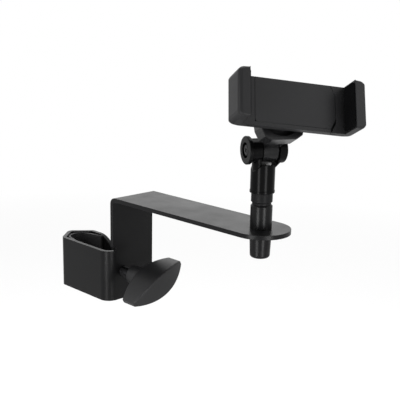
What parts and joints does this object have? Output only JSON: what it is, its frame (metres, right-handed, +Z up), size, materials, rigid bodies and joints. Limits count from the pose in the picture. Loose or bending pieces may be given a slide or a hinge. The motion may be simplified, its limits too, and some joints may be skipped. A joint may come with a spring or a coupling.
{
  "type": "phone holder",
  "caption": "Tube-mounted phone holder: folded black steel arm with a hook clamp and wing knob, a tilting swivel stem and a sprung sliding-jaw phone clip.",
  "frame": {"origin": "axis of the held tube at half the height of the hook", "axes": "+Z up along the held tube, +X from the tube along the arm, +Y towards the hook's open side"},
  "size_m": [0.2655, 0.0855, 0.1902],
  "materials": {
    "powder_coat": "satin",
    "liner_plastic": "matte",
    "zinc_steel": "satin",
    "foot_plastic": "matte",
    "knob_plastic": "matte",
    "black_metal": "satin",
    "collar_plastic": "stippled",
    "stem_plastic": "gloss",
    "screw_steel": "satin",
    "washer_nylon": "matte",
    "head_plastic": "semi-gloss",
    "spring_steel": "bright",
    "clip_plastic": "matte",
    "pad_rubber": "matte"
  },
  "bodies": {
    "bracket_body": {"bracket": "powder_coat", "clamp_liner": "liner_plastic", "weld_nut": "zinc_steel", "spigot": "black_metal", "cap_nut": "black_metal"},
    "foot_body": {"pressure_foot": "foot_plastic"},
    "screw_body": {"clamp_screw": "zinc_steel", "wing_knob": "knob_plastic"},
    "fork_body": {"thread_insert": "collar_plastic", "fork_stem": "stem_plastic", "hinge_screw": "screw_steel", "hinge_nut": "zinc_steel", "hinge_washers": "washer_nylon"},
    "head_body": {"tilt_head": "head_plastic"},
    "clip_body": {"swivel_disc": "head_plastic", "swivel_washer": "spring_steel", "swivel_screw": "screw_steel", "clip_frame": "clip_plastic", "front_panel": "clip_plastic", "left_pad": "pad_rubber", "upper_spring": "spring_steel", "lower_spring": "spring_steel", "panel_screws": "screw_steel"},
    "slider_body": {"clip_slider": "clip_plastic", "right_pad": "pad_rubber"}
  },
  "joints": [
    {"name": "foot_slide", "type": "slide", "parent": "bracket_body", "child": "foot_body", "axis": [1, 0, 0], "range_m": [-0.01, 0.025]},
    {"name": "screw_turn", "type": "hinge", "parent": "foot_body", "child": "screw_body", "pos_m": [0.0157, 0, 0.0021], "axis": [1, 0, 0], "range_deg": [-2882, 7202]},
    {"name": "stem_swivel", "type": "hinge", "parent": "bracket_body", "child": "fork_body", "pos_m": [0.184, 0.0095, 0.078], "axis": [0, 0, 1], "range_deg": [-180, 180]},
    {"name": "tilt", "type": "hinge", "parent": "fork_body", "child": "head_body", "pos_m": [0.184, 0.0095, 0.114], "axis": [-0.4384, -0.8988, 0], "range_deg": [-42, 67]},
    {"name": "clip_spin", "type": "hinge", "parent": "head_body", "child": "clip_body", "pos_m": [0.20391, -0.00021, 0.13778], "axis": [0.8185, -0.3992, 0.4131], "range_deg": [-8, 97]},
    {"name": "jaw_slide", "type": "slide", "parent": "clip_body", "child": "slider_body", "axis": [0.4831, 0.8675, -0.1189], "range_m": [0, 0.025], "stiffness_N_per_m": 300, "springref_m": -0.03, "deforming": ["upper_spring", "lower_spring"]}
  ],
  "couplings": [
    {"joint": "screw_turn", "follows": "foot_slide", "rad_per_m": 5026.5}
  ]
}
